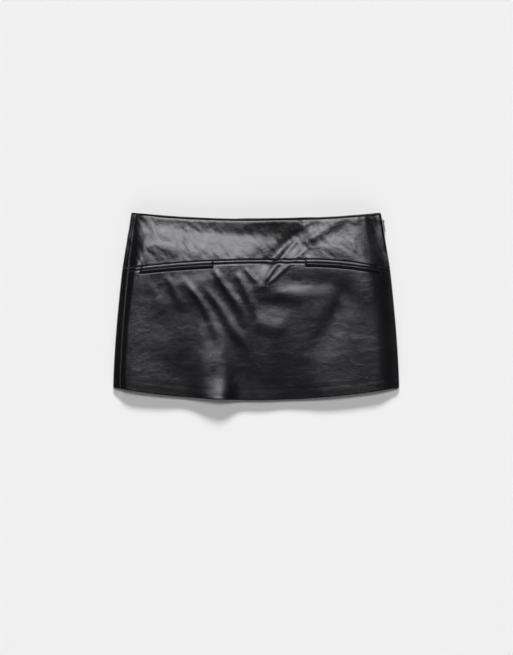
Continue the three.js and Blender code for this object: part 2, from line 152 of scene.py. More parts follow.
# Folds of the front: from, to, bow to the left of the way, height, half widths left and right of the way,
# and the share of its length that each end takes to rise.
folds = {
    "ridgeUnderLeftPocket": ((-150, 36), (-56, 28), 0, 1.4, 16, 30, 0.4, 0.4),
    "outerLeftRidge": ((-172, 42), (-150, -16), 0, 0.45, 7, 7, 0.3, 0.4),
    "nearLeftRidge": ((-142, 52), (-117, -12), 0, 0.7, 6, 7, 0.2, 0.4),
    "longLeftRidge": ((-114, 48), (-44, -88), 4, 1.4, 7, 8, 0.2, 0.5),
    "secondLeftRidge": ((-86, 34), (-10, -80), 2, 1.2, 7, 7, 0.25, 0.35),
    "thirdLeftRidge": ((-70, 64), (-14, -36), 2, 1.3, 7, 7, 0.2, 0.35),
    "middleRidge": ((-32, 58), (0, -22), 1, 1.1, 7, 7, 0.2, 0.3),
    "swellUnderSeam": ((12, 13), (98, 17), 3, 0.85, 12, 12, 0.4, 0.4),
    "troughUnderSeam": ((30, 42), (150, 40), 0, -0.7, 14, 12, 0.3, 0.4),
    "bowlRim": ((-10, -8), (62, -20), -20, 0.8, 11, 13, 0.3, 0.4),
    "longRightHollow": ((154, 54), (54, -130), 8, -1.6, 28, 16, 0.18, 0.7),
    "leftYokeSwell": ((-194, 100), (-110, 92), 1, 1.9, 24, 13, 0.3, 0.4),
}
# Sharper creases of the same kind.
creases = {
    "crossCrease": ((12, 35), (80, 122), 4, 1.35, 6.5, 4.5, 0.12, 0.3),
    "hollowByCrossCrease": ((4, 60), (84, 126), 0, -1.5, 9, 9, 0.3, 0.3),
    "facetCrease": ((-20, 64), (4, 34), 0, 0.8, 3.6, 3.6, 0.3, 0.3),
    "shortCrease": ((16, 33), (91, 103), 0, 0.75, 3.6, 4, 0.12, 0.3),
    "streakToWaist": ((66, 96), (150, 146), 0, 1.1, 8, 8, 0.3, 0.3),
    "bendAtWaist": ((60, 138), (90, 134), -4, 0.5, 3.5, 3.5, 0.3, 0.3),
    "cornerCrease": ((-169, 136), (-158, 108), 0, 0.4, 3, 3, 0.3, 0.4),
    "smallLeftCrease": ((-133, 127), (-122, 108), 0, 0.3, 3, 3, 0.3, 0.4),
    "yokeLeftCrease": ((-118, 112), (-102, 80), 1, 0.35, 3, 3.5, 0.3, 0.4),
}
# Rounded hollows and swells: middle, reach along and across, turn in degrees, and height.
swells = {
    "dentAtSeam": ((14, 74), (22, 18), 0, -2.1),
    "underDent": ((8, 33), (13, 8), 0, 0.8),
    "hollowUnderDent": ((24, 2), (30, 16), 0, -0.9),
    "hollowUnderWaist": ((36, 99), (36, 24), -8, -1.1),
    "hollowAtSeam": ((22, 92), (66, 32), -8, -1.4),
    "swellAtWaist": ((26, 152), (66, 36), 0, 2.8),
    "middleWaist": ((-18, 124), (44, 16), -6, 1.0),
    "nickAtWaist": ((76, 136), (9, 6), 0, -1.1),
    "rightWaist": ((134, 138), (62, 36), 0, 2.4),
    "leftWaist": ((-178, 147), (26, 18), 0, -0.8),
    "rightYoke": ((132, 95), (42, 14), -6, 0.3),
    "underRightPocket": ((168, 24), (20, 16), 0, 0.5),
}
foldWidth = {"atStart": 0.75, "growth": 0.5}


def foldHeight(fold, x, y):
    (fromX, fromY), (toX, toY), bow, height, leftWidth, rightWidth, startRise, endRise = fold
    alongX, alongY = toX - fromX, toY - fromY
    length = math.hypot(alongX, alongY)
    share = ((x - fromX) * alongX + (y - fromY) * alongY) / length**2
    across = (alongX * (y - fromY) - alongY * (x - fromX)) / length
    off = across - bow * 4 * share * (1 - share)
    grown = foldWidth["atStart"] + foldWidth["growth"] * np.clip(share, 0, 1)
    width = np.where(off > 0, leftWidth, rightWidth) * grown
    taper = smooth(share, 0, startRise) * (1 - smooth(share, 1 - endRise, 1))
    return height * taper * soft(off, width)


def swellHeight(swell, x, y):
    (middleX, middleY), (reachAlong, reachAcross), turn, height = swell
    cosine, sine = math.cos(math.radians(turn)), math.sin(math.radians(turn))
    along = (x - middleX) * cosine + (y - middleY) * sine
    across = (y - middleY) * cosine - (x - middleX) * sine
    return height * np.exp(-((along / reachAlong) ** 2) - (across / reachAcross) ** 2)


# A smooth curve through a row of values, without overshoot.
def through(at, places, values):
    places, values = np.array(places, float), np.array(values, float)
    steepness = np.diff(values) / np.diff(places)
    before, after = steepness[:-1], steepness[1:]
    joined = np.where(after * before > 0, 2 * after * before / (after + before + 1e-12), 0)
    tangents = np.concatenate([steepness[:1], joined, steepness[-1:]])
    low = np.clip(np.searchsorted(places, at) - 1, 0, len(places) - 2)
    gap = places[low + 1] - places[low]
    t = np.clip((at - places[low]) / gap, 0, 1)
    start, stop = values[low], values[low + 1]
    startSlope, stopSlope = tangents[low] * gap, tangents[low + 1] * gap
    return (
        start * (1 + 2 * t) * (1 - t) ** 2
        + startSlope * t * (1 - t) ** 2
        + stop * t**2 * (3 - 2 * t)
        + stopSlope * t**2 * (t - 1)
    )


# Soft unevenness of the front, and how far the folds wander and fade.
unevenness = {
    "broadCell": 27,
    "broadHeight": 0.23,
    "fineCell": 8.5,
    "fineHeight": 0.065,
    "wanderCell": 42,
    "wander": 3.0,
    "smallWander": 1.1,
    "smallShare": 3,
    "fadeCell": 44,
    "fade": 0.25,
}
seeds = {
    "broad": 11,
    "fine": 12,
    "fade": 13,
    "wanderX": 14,
    "wanderY": 16,
    "pucker": 23,
    "wrinkle": 31,
    "welt": 31,
}
noiseLattice = {"size": 97, "cosine": 0.86, "sine": 0.51, "shift": 400}


def softNoise(x, y, cell, seed):
    size, shift = noiseLattice["size"], noiseLattice["shift"]
    cosine, sine = noiseLattice["cosine"], noiseLattice["sine"]
    lattice = np.random.default_rng(seed).uniform(-1, 1, (size, size))
    u, v = (x * cosine - y * sine + shift) / cell, (x * sine + y * cosine + shift) / cell
    i, j = np.floor(u).astype(int), np.floor(v).astype(int)
    s, t = smooth(u - i, 0, 1), smooth(v - j, 0, 1)
    low = lattice[i % size, j % size] * (1 - s) + lattice[(i + 1) % size, j % size] * s
    high = lattice[i % size, (j + 1) % size] * (1 - s) + lattice[(i + 1) % size, (j + 1) % size] * s
    return low * (1 - t) + high * t


# Folds follow a place that wanders a little, so that none of them runs straight.
def wandered(x, y):
    cell = unevenness["wanderCell"]
    away = []
    for at, seed in ((x, seeds["wanderX"]), (y, seeds["wanderY"])):
        broad = at + unevenness["wander"] * softNoise(x, y, cell, seed)
        small = softNoise(x, y, cell / unevenness["smallShare"], seed + 1)
        away.append(broad + unevenness["smallWander"] * small)
    return away


def frontHeight(x, y):
    share = np.abs(x) / flatHalf(y)
    toSeam = seamY(x)
    inYoke = (waistY(x) - y) / (waistY(x) - toSeam)
    level = np.where(y > toSeam, inYoke, 1 + (toSeam - y) / (toSeam - hemY(x)))
    rise = through(level, crown["level"], crown["rise"])
    flatLeft = through(level, crown["level"], crown["flatLeft"])
    flatRight = through(level, crown["level"], crown["flatRight"])
    flat = np.where(x < 0, flatLeft, flatRight)
    drop = 1 - (1 - np.clip((share - flat) / (1 - flat), 0, 1) ** 2) ** crown["fallPower"]
    awayX, awayY = wandered(x, y)
    folded = sum(foldHeight(fold, awayX, awayY) for fold in folds.values())
    folded = folded + sum(foldHeight(slope, x, y) for slope in slopes.values())
    folded = folded + sum(foldHeight(crease, x, y) for crease in creases.values())
    folded = folded + sum(swellHeight(swell, awayX, awayY) for swell in swells.values())
    folded = folded * (1 + unevenness["fade"] * softNoise(x, y, unevenness["fadeCell"], seeds["fade"]))
    folded = folded + unevenness["broadHeight"] * softNoise(x, y, unevenness["broadCell"], seeds["broad"])
    folded = folded + unevenness["fineHeight"] * softNoise(x, y, unevenness["fineCell"], seeds["fine"])
    faded = 1 - smooth(share, crown["foldsFadeFrom"], crown["foldsFadeTo"])
    return 2 * radius + rise * (1 - drop) + folded * faded


# Shallow troughs that lift the back a little off the floor, in the same order as the folds.
backFolds = {
    "backLong": ((-130, 40), (-92, -90), 6, 0.7, 9, 6, 0.3, 0.3),
    "backMiddle": ((-20, 58), (12, -60), -5, 0.6, 7, 7, 0.3, 0.3),
    "backRight": ((120, 30), (84, -120), 4, 0.8, 8, 10, 0.3, 0.3),
    "backYoke": ((-60, 122), (30, 84), 3, 0.5, 7, 9, 0.3, 0.3),
    "backSmall": ((150, 96), (104, 78), -2, 0.4, 5, 5, 0.3, 0.3),
}
tube = {"backFoldsFrom": 4, "backFoldsFull": 30, "normalStep": 0.4}


def roundWay(y):
    return 4 * flatHalf(y) + 2 * foldWay


# The skirt is one flat tube: a place on it is a way round from the middle of the front, and a y.
def tubePoint(way, y):
    flat = flatHalf(y)
    wrapped = np.where(way > roundWay(y) / 2, way - roundWay(y), way)
    side = np.sign(wrapped)
    beyond = np.abs(wrapped) - flat
    turn = np.clip(beyond / radius, 0, math.pi)
    underX = flat - np.maximum(0, beyond - foldWay)
    rollX = np.where(turn < math.pi, flat + radius * np.sin(turn), underX)
    x = np.where(beyond <= 0, wrapped, side * rollX)
    lifted = sum(foldHeight(fold, x, y) for fold in backFolds.values())
    under = lifted * smooth(beyond - foldWay, tube["backFoldsFrom"], tube["backFoldsFull"])
    front = frontHeight(np.clip(wrapped, -flat, flat), y)
    z = np.where(beyond <= 0, front, radius * (1 + np.cos(turn)) + under)
    return np.stack([x, y + 0 * x, z], axis=-1)


def tubeNormal(way, y):
    step = tube["normalStep"]
    across = tubePoint(way + step, y) - tubePoint(way - step, y)
    down = tubePoint(way, y - step) - tubePoint(way, y + step)
    normal = np.cross(down, across)
    return normal / np.linalg.norm(normal, axis=-1, keepdims=True)


def leftSeamWay(y):
    depth = outline["waistCornerY"] - outline["hemCornerY"]
    share = np.clip((outline["waistCornerY"] - y) / depth, 0, 1)
    return seam["leftStripWaist"] + share * (seam["leftStripHem"] - seam["leftStripWaist"]) - halfWidth(y)


def rightSeamWay(y):
    up = smooth(y, seam["shoulderStartY"], seam["zipEndY"])
    return flatHalf(y) + radius * (seam["shoulderAngle"] + up * (seam["zipAngle"] - seam["shoulderAngle"]))


# Every edge rolls down a little. On the floor's side it rolls less.
edges = {
    "rollDepth": 1.05,
    "rollWidth": 1.8,
    "roundness": 0.95,
    "underShare": 0.35,
    "hemDepth": 1.2,
    "hemWidth": 2.2,
    "floorHeight": 2,
}


# How far a rolled edge drops at a distance from it.
def edgeRoll(distance, depth=edges["rollDepth"], width=edges["rollWidth"]):
    near = np.clip(1 - distance / width, 0, 1)
    return depth * (1 - np.sqrt(1 - edges["roundness"] * near**2))


wall = {"thickness": 1.4, "turnedExtra": 1.1, "hemTurn": 17, "waistTurn": 9}


# Extra thickness where the waist or hem is turned in.
def turned(x, y, distance, depth):
    clearOfFold = smooth(flatHalf(y) - 2 * radius - np.abs(x), 0, radius)
    return wall["turnedExtra"] * clearOfFold * (1 - smooth(distance, depth - 1, depth))


puckers = {"height": 0.11, "cell": 16, "stretchX": 2.6, "stretchY": 0.7, "reach": 7}


# Short puckers beside a seam.
def pucker(x, y, distance):
    noise = softNoise(x * puckers["stretchX"], y * puckers["stretchY"], puckers["cell"], seeds["pucker"])
    return puckers["height"] * noise * soft(distance, puckers["reach"])


wrinkles = {"height": 0.21, "cell": 7.5, "stretchX": 1.4, "lean": 0.7, "stretchY": 0.8}


# Small wrinkles of the yoke, narrow across and long up and down.
def wrinkled(x, y):
    leaning = x * wrinkles["stretchX"] + y * wrinkles["lean"]
    noise = softNoise(leaning, y * wrinkles["stretchY"], wrinkles["cell"], seeds["wrinkle"])
    return wrinkles["height"] * noise


# The turned waist edge swells a little, and under it the leather sinks and rises again slowly.
waistBand = {
    "rollFall": 2.0,
    "rollWidth": 2.9,
    "rollPower": 1.15,
    "bandFall": 0.95,
    "bandWidth": 8.5,
    "bandFromX": -170,
    "bandFullX": -140,
    "channelDepth": 0.3,
    "channelFrom": 6,
    "channelTo": 20,
    "channelEnd": 44,
    "fadeX": 62,
    "fadeReach": 60,
}


def waistShape(x, toWaist):
    inBand = np.clip(1 - toWaist / waistBand["bandWidth"], 0, 1)
    inRoll = np.clip(1 - toWaist / waistBand["rollWidth"], 0, 1)
    band = waistBand["bandFall"] * inBand**2 * smooth(x, waistBand["bandFromX"], waistBand["bandFullX"])
    roll = waistBand["rollFall"] * inRoll ** waistBand["rollPower"]
    sunk = smooth(toWaist, waistBand["channelFrom"], waistBand["channelTo"])
    channel = sunk * (1 - smooth(toWaist, waistBand["channelTo"], waistBand["channelEnd"]))
    strength = 1 - soft(x - waistBand["fadeX"], waistBand["fadeReach"])
    return roll + band + waistBand["channelDepth"] * channel * strength


# The shape of each piece at a place: how far its outer side is lifted off the tube, and its extra thickness.
def yokeShape(x, y):
    toWaist = np.maximum(0, waistY(x) - y)
    toSeam = np.maximum(0, y - seamY(x))
    roll = edgeRoll(toSeam) + waistShape(x, toWaist)
    return pucker(x, y, toSeam) + wrinkled(x, y) - roll, turned(x, y, toWaist, wall["waistTurn"])


# Faint lines above the hem, where the turned edge ends and where it is held.
hemPrint = {"turnDepth": 0.07, "turnWidth": 1.7, "heldAt": 5.5, "heldDepth": 0.05, "heldWidth": 1.2}


def panelShape(x, y):
    toHem = np.maximum(0, y - hemY(x))
    toSeam = np.maximum(0, seamY(x) - y)
    turnPrint = hemPrint["turnDepth"] * soft(toHem - wall["hemTurn"], hemPrint["turnWidth"])
    heldPrint = hemPrint["heldDepth"] * soft(toHem - hemPrint["heldAt"], hemPrint["heldWidth"])
    roll = -edgeRoll(toHem, edges["hemDepth"], edges["hemWidth"]) - edgeRoll(toSeam)
    return roll - (turnPrint + heldPrint), turned(x, y, toHem, wall["hemTurn"])


def frontPanelShape(x, y):
    below = seamY(x) - y
    line = x * flatHalf(np.float64(outline["yokeEndY"])) / flatHalf(y)
    leftMouth = (line > mouth["leftFromX"] - 1) & (line < mouth["leftToX"] + 1)
    rightMouth = (line > mouth["rightFromX"] - 1) & (line < mouth["rightToX"] + 1)
    beside = np.minimum(
        np.maximum(mouth["leftFromX"] - line, line - mouth["leftToX"]),
        np.maximum(mouth["rightFromX"] - line, line - mouth["rightToX"]),
    )
    band = mouth["bandHeight"] * np.sin(math.pi * np.clip(below / mouth["band"], 0, 1))
    groove = mouth["grooveDepth"] * soft(below - mouth["band"], mouth["grooveWidth"]) * smooth(beside, -1, 1)
    lift, extra = panelShape(x, y)
    lip = np.where(leftMouth | rightMouth, edgeRoll(np.maximum(0, below - mouthDepth)), 0)
    end = edgeRoll(np.maximum(0, beside), mouth["endDepth"], mouth["endWidth"])
    end = end * (below < mouthDepth + mouth["endBelow"])
    return lift + band - groove - lip - end + pucker(x, y, below - mouthDepth), extra


# A piece is a grid between named lines, with fine ones beside the edges that roll. A place along the lines
# is a line's number and the share of the way to the next one.
fineStops = [0, 0.25, 0.55, 0.9, 1.3, 1.8, 2.6]
endStops = [-2.6, -1.4, -0.7, -0.3]
leatherMesh = {"sharpAngle": 38, "settleRounds": 10}


def moved(line, distance):
    return lambda at, *rest: line(at, *rest) + distance


def fineLines(line, sign):
    return [moved(line, sign * stop) for stop in fineStops]


# Places of the grid's lines: each stretch between two named lines has its own count of steps.
def stops(counts):
    places = [0.0]
    for stretch, count in enumerate(counts):
        places += [stretch + step / count for step in range(1, count + 1)]
    return np.array(places)


def lineValue(lines, place, *at):
    table = np.stack([np.broadcast_to(line(*at), at[0].shape) for line in lines])
    low = np.minimum(place.astype(int), len(lines) - 2)
    share = place - low
    pick = np.arange(at[0].size)
    return table[low, pick] * (1 - share) + table[low + 1, pick] * share


def addObject(name, data):
    obj = bpy.data.objects.new(name, data)
    bpy.context.scene.collection.objects.link(obj)
    return obj


def meshFrom(bm, name):
    mesh = bpy.data.meshes.new(name)
    bm.to_mesh(mesh)
    bm.free()
    mesh.polygons.foreach_set("use_smooth", [True] * len(mesh.polygons))
    return mesh


def flatGrid(name, columnStops, rowStops, hole):
    columns, rows = len(columnStops) - 1, len(rowStops) - 1
    bm = bmesh.new()
    bmesh.ops.create_grid(bm, x_segments=columns, y_segments=rows, size=1)
    if hole:
        gone = []
        for face in bm.faces:
            centre = face.calc_center_median()
            across = columnStops[int((centre.x + 1) / 2 * columns)]
            up = rowStops[int((centre.y + 1) / 2 * rows)]
            if hole(across, up):
                gone.append(face)
        bmesh.ops.delete(bm, geom=gone, context="FACES")
    return meshFrom(bm, name)


# Gives a laid piece its wall inwards, as thick at each point as thickness says.
def walled(name, mesh, thickness):
    obj = addObject(name, mesh)
    full = wall["thickness"] + wall["turnedExtra"]
    group = obj.vertex_groups.new(name="thickness")
    for index, share in enumerate((thickness / full).tolist()):
        group.add([index], share, "REPLACE")
    solid = obj.modifiers.new("wall", "SOLIDIFY")
    solid.thickness = full * mm
    solid.offset = -1
    solid.vertex_group = group.name
    solid.thickness_vertex_group = 0
    solid.material_offset = 1
    solid.use_even_offset = False
    bpy.context.view_layer.update()
    made = bpy.data.meshes.new_from_object(obj.evaluated_get(bpy.context.evaluated_depsgraph_get()))
    obj.modifiers.clear()
    obj.vertex_groups.clear()
    obj.data = made
    made.name = name
    made.set_sharp_from_angle(angle=math.radians(leatherMesh["sharpAngle"]))
    return obj


# A grid whose points are laid on the tube, then given its wall.
def leatherPiece(name, columnLines, columnCounts, rowLines, rowCounts, shape, hole=None):
    columnStops, rowStops = stops(columnCounts), stops(rowCounts)
    columns, rows = len(columnStops) - 1, len(rowStops) - 1
    mesh = flatGrid(name, columnStops, rowStops, hole)
    flat = np.zeros(len(mesh.vertices) * 3)
    mesh.vertices.foreach_get("co", flat)
    flat = flat.reshape(-1, 3)
    column = np.rint((flat[:, 0] + 1) / 2 * columns).astype(int)
    row = np.rint((flat[:, 1] + 1) / 2 * rows).astype(int)
    across, up = columnStops[column], rowStops[row]
    y = np.zeros(len(flat))
    for _ in range(leatherMesh["settleRounds"]):
        way = lineValue(columnLines, across, y)
        x = tubePoint(way, y)[:, 0]
        y = lineValue(rowLines, up, x, column / columns)
    place = tubePoint(way, y)
    toSide = np.minimum(way - columnLines[0](y), columnLines[-1](y) - way)
    lift, extra = shape(place[:, 0], y)
    lift = (lift - edgeRoll(np.maximum(0, toSide))) * np.where(place[:, 2] < radius, edges["underShare"], 1)
    onFloor = place[:, 2] < edges["floorHeight"]
    place = place + tubeNormal(way, y) * np.where(onFloor, np.minimum(lift, 0), lift)[:, None]
    mesh.vertices.foreach_set("co", (place * mm).ravel())
    uvs = mesh.uv_layers.new(name="cut")
    corner = np.zeros(len(mesh.loops), int)
    mesh.loops.foreach_get("vertex_index", corner)
    uvs.data.foreach_set("uv", (np.stack([way, y], axis=-1)[corner] * mm).ravel())
    obj = walled(name, mesh, wall["thickness"] + extra)
    print(name, len(obj.data.polygons), "faces")
    return obj


# Lines round the tube, from the y alone.
def shareLine(x):
    return lambda y: x * flatHalf(y) / flatHalf(np.float64(outline["yokeEndY"]))


def frontEdge(y):
    return leftSeamWay(y) + halfGap


def frontZipEdge(y):
    return rightSeamWay(y) - halfGap


def backZipEdge(y):
    return rightSeamWay(y) + halfGap


def backEdge(y):
    return roundWay(y) + leftSeamWay(y) - halfGap


# The line so many flat halves and side folds round from the middle of the front.
def beyondFolds(flatHalves, sideFolds):
    return lambda y: flatHalves * flatHalf(y) + sideFolds * foldWay


# Lines along the tube, from the x and the share of the way across the piece.
backWaist = {"riseFrom": 0.25, "riseTo": 0.33, "fallFrom": 0.5, "fallTo": 0.58}


def waistLine(x, across):
    return waistY(x)


def backWaistLine(x, across):
    rise = smooth(across, backWaist["riseFrom"], backWaist["riseTo"])
    under = rise * (1 - smooth(across, backWaist["fallFrom"], backWaist["fallTo"]))
    return waistY(x) + outline["backWaistLift"] * under


def hemLine(x, across):
    return hemY(x)


def belowSeam(depth):
    return lambda x, across: seamY(x) - depth


# Fine lines up to both ends of a pocket mouth, with the mouth between them.
def mouthLines(fromX, toX):
    before = [moved(shareLine(fromX), stop) for stop in endStops]
    after = [moved(shareLine(toX), -stop) for stop in reversed(endStops)]
    return before + [shareLine(fromX), shareLine(toX)] + after


frontColumnLines = (
    fineLines(frontEdge, 1)
    + mouthLines(mouth["leftFromX"], mouth["leftToX"])
    + mouthLines(mouth["rightFromX"], mouth["rightToX"])
    + [flatHalf]
    + fineLines(frontZipEdge, -1)[::-1]
)
backColumnLines = (
    fineLines(backZipEdge, 1)
    + [beyondFolds(1, 1), beyondFolds(3, 1), beyondFolds(3, 2)]
    + fineLines(backEdge, -1)[::-1]
)
frontYokeRowLines = fineLines(belowSeam(-halfGap), 1) + fineLines(waistLine, -1)[::-1]
backYokeRowLines = fineLines(belowSeam(-halfGap), 1) + fineLines(backWaistLine, -1)[::-1]
frontPanelRowLines = (
    fineLines(hemLine, 1)
    + fineLines(belowSeam(mouthDepth), -1)[::-1]
    + [belowSeam(mouth["band"] + 1), belowSeam(mouth["band"]), belowSeam(mouth["band"] - 1)]
    + fineLines(belowSeam(halfGap), -1)[::-1]
)
backPanelRowLines = fineLines(hemLine, 1) + fineLines(belowSeam(halfGap), -1)[::-1]

# The number of grid steps in each stretch between two lines.
fine = [1] * (len(fineStops) - 1)
ends = [1] * len(endStops)
counts = {
    "frontColumns": fine + [10] + ends + [64] + ends + [84] + ends + [66] + ends + [8, 1] + fine,
    "backColumns": fine + [10, 170, 14, 3] + fine,
    "frontYokeRows": fine + [40] + fine,
    "backYokeRows": fine + [30] + fine,
    "frontPanelRows": fine + [108] + fine + [3, 1, 1, 2] + fine,
    "backPanelRows": fine + [86] + fine,
}
leftMouthPlace = len(fineStops) + len(endStops)
rightMouthPlace = leftMouthPlace + 2 * len(endStops) + 2
mouthRowPlace = 2 * len(fineStops) - 1


# Where the front panel is left open for the pocket mouths.
def overMouth(across, up):
    inLeft = leftMouthPlace <= across < leftMouthPlace + 1
    inRight = rightMouthPlace <= across < rightMouthPlace + 1
    return up >= mouthRowPlace and (inLeft or inRight)


frontYoke = leatherPiece(
    "front_yoke_leather",
    frontColumnLines,
    counts["frontColumns"],
    frontYokeRowLines,
    counts["frontYokeRows"],
    yokeShape,
)
frontPanel = leatherPiece(
    "front_panel_leather",
    frontColumnLines,
    counts["frontColumns"],
    frontPanelRowLines,
    counts["frontPanelRows"],
    frontPanelShape,
    overMouth,
)
backYoke = leatherPiece(
    "back_yoke_leather",
    backColumnLines,
    counts["backColumns"],
    backYokeRowLines,
    counts["backYokeRows"],
    yokeShape,
)
backPanel = leatherPiece(
    "back_panel_leather",
    backColumnLines,
    counts["backColumns"],
    backPanelRowLines,
    counts["backPanelRows"],
    panelShape,
)
print("leather pieces made")

lips = {
    "height": 0.9,
    "depth": 1.6,
    "steps": 120,
    "around": 28,
    "squareness": 0.72,
    "underPower": 0.5,
    "endLength": 1.6,
    "endRoundness": 0.9,
    "upper": {"lean": 0, "fullness": 0.85},
    "lower": {"lean": 0.9, "fullness": 0.4},
    "unevenHeight": 0.06,
    "unevenStretch": 1.6,
    "unevenCell": 14,
    "sharpAngle": 50,
    "settleRounds": 6,
}


# A folded strip along one edge of a pocket mouth, closed all round and rounded at its ends.
def weltLip(name, fromX, toX, fromDepth, toDepth, form):
    bm = bmesh.new()
    bmesh.ops.create_grid(bm, x_segments=lips["steps"], y_segments=lips["around"], size=1)
    flat = np.array([vertex.co for vertex in bm.verts])
    along = (flat[:, 0] + 1) / 2
    angle = -(flat[:, 1] + 1) * math.pi
    cosine, sine = np.cos(angle), np.sin(angle)
    nearEnd = np.minimum(along, 1 - along) * (toX - fromX)
    end = np.sqrt(1 - lips["endRoundness"] * np.clip(1 - nearEnd / lips["endLength"], 0, 1) ** 2)
    share = 0.5 + 0.5 * np.sign(cosine) * np.abs(cosine) ** lips["squareness"] * end
    top = lips["height"] * np.abs(sine) ** form["fullness"] * (1 - form["lean"] * share)
    height = np.where(sine > 0, top, -lips["depth"] * np.abs(sine) ** lips["underPower"]) * end
    depth = fromDepth + share * (toDepth - fromDepth)
    line = shareLine(fromX + along * (toX - fromX))
    y = np.full(len(flat), float(outline["yokeEndY"]))
    for _ in range(lips["settleRounds"]):
        y = seamY(line(y)) - depth
    x = line(y)
    uneven = softNoise(x * lips["unevenStretch"], y, lips["unevenCell"], seeds["welt"])
    height = height + np.where(sine > 0, lips["unevenHeight"] * uneven, 0)
    place = tubePoint(x, y) + tubeNormal(x, y) * height[:, None]
    for vertex, point in zip(bm.verts, place * mm):
        vertex.co = point
    bmesh.ops.remove_doubles(bm, verts=bm.verts, dist=1e-6)
    bmesh.ops.holes_fill(bm, edges=[edge for edge in bm.edges if edge.is_boundary], sides=0)
    bmesh.ops.recalc_face_normals(bm, faces=bm.faces)
    mesh = meshFrom(bm, name)
    mesh.set_sharp_from_angle(angle=math.radians(lips["sharpAngle"]))
    return addObject(name, mesh)


welts = {}
lipDepths = {
    "upper": (halfGap, mouth["upperLip"] - halfGap),
    "lower": (mouth["upperLip"] + halfGap, mouthDepth - seam["gap"]),
}
for side in ("left", "right"):
    fromX, toX = mouth[side + "FromX"] + seam["gap"], mouth[side + "ToX"] - seam["gap"]
    for lip, (fromDepth, toDepth) in lipDepths.items():
        welt = weltLip(f"{side}_{lip}_welt", fromX, toX, fromDepth, toDepth, lips[lip])
        welts[f"{side}_{lip}_lip"] = welt
print("pocket welts made")


def pointAt(way, y):
    return tubePoint(np.array([way]), np.array([y]))[0]


def normalAt(way, y):
    return Vector(tubeNormal(np.array([way]), np.array([y]))[0])


# A small spindle, as long and thick as its piece says, turned to the three directions given.
def addSpindle(bm, centre, along, side, up, piece):
    around, rings = piece["segments"]
    made = bmesh.ops.create_uvsphere(bm, u_segments=around, v_segments=rings, radius=0.5)
    for vertex in made["verts"]:
        spread = along * (vertex.co.z * piece["length"])
        spread = spread + side * (vertex.co.x * piece["thickness"])
        spread = spread + up * (vertex.co.y * piece["thickness"])
        vertex.co = (centre + spread) * mm


# The row under the band, four short rows across the band, and one row at each end of the pocket mouths.
stitches = {
    "length": 2.5,
    "thickness": 0.5,
    "segments": (6, 5),
    "pitch": 3.3,
    "sunk": 0.05,
    "bandClear": 2,
    "bandLift": -0.3,
    "crossX": (-44, -39, -34, -29),
    "crossDepths": (1.6, 5),
    "crossLift": 0.55,
    "endBeside": 1.6,
    "endDepths": (1.5, mouthDepth - 0.5),
    "endLift": 0.05,
}


# Stitches from place to place, lying along their row on the leather.
def stitchRow(bm, places, lift):
    for (x, y), (nextX, nextY) in zip(places, places[1:]):
        middleX, middleY = (x + nextX) / 2, (y + nextY) / 2
        normal = normalAt(middleX, middleY)
        along = Vector(pointAt(nextX, nextY) - pointAt(x, y)).normalized()
        centre = Vector(pointAt(middleX, middleY)) + normal * (lift - stitches["sunk"])
        addSpindle(bm, centre, along, normal.cross(along), normal, stitches)


def alongSeam(fromX, toX, depth):
    count = int(round((toX - fromX) / stitches["pitch"]))
    xs = [fromX + (toX - fromX) * step / count for step in range(count + 1)]
    return [(x, float(seamY(np.float64(x))) - depth) for x in xs]


def acrossBand(x, fromDepth, toDepth):
    count = max(1, int(round((toDepth - fromDepth) / stitches["pitch"])))
    depths = [fromDepth + (toDepth - fromDepth) * step / count for step in range(count + 1)]
    lineX = [float(shareLine(x)(seamY(np.float64(x)) - depth)) for depth in depths]
    return [(px, float(seamY(np.float64(px))) - depth) for px, depth in zip(lineX, depths)]


bm = bmesh.new()
bandFromX, bandToX = mouth["leftToX"] + stitches["bandClear"], mouth["rightFromX"] - stitches["bandClear"]
stitchRow(bm, alongSeam(bandFromX, bandToX, mouth["band"]), stitches["bandLift"])
for x in stitches["crossX"]:
    stitchRow(bm, acrossBand(x, *stitches["crossDepths"]), stitches["crossLift"])
for side in ("left", "right"):
    for x in (mouth[side + "FromX"] - stitches["endBeside"], mouth[side + "ToX"] + stitches["endBeside"]):
        stitchRow(bm, acrossBand(x, *stitches["endDepths"]), stitches["endLift"])
topstitching = addObject("topstitching", meshFrom(bm, "topstitching"))
print("stitches made")

# Teeth of the closed zip, sunk between the seam's rolled edges, with the slider's place left free.
zipTeeth = {
    "fromY": 104,
    "toY": 148,
    "sliderY": 136.5,
    "sliderClear": 4.6,
    "pitch": 1.5,
    "length": 2.0,
    "thickness": 0.9,
    "segments": (8, 6),
    "sunk": 0.42,
}
bm = bmesh.new()
for y in np.arange(zipTeeth["fromY"], zipTeeth["toY"], zipTeeth["pitch"]):
    if abs(y - zipTeeth["sliderY"]) < zipTeeth["sliderClear"]:
        continue
    way = rightSeamWay(y)
    normal = normalAt(way, y)
    along = Vector(pointAt(rightSeamWay(y + 1), y + 1) - pointAt(way, y)).normalized()
    centre = Vector(pointAt(way, y)) - normal * zipTeeth["sunk"]
    addSpindle(bm, centre, normal.cross(along), along, normal, zipTeeth)
teeth = addObject("zip_teeth", meshFrom(bm, "zip_teeth"))

zipMetal = {"bevel": 0.14, "bevelSegments": 3, "bevelAngle": 35, "flatAngle": 1, "sharpAngle": 45}


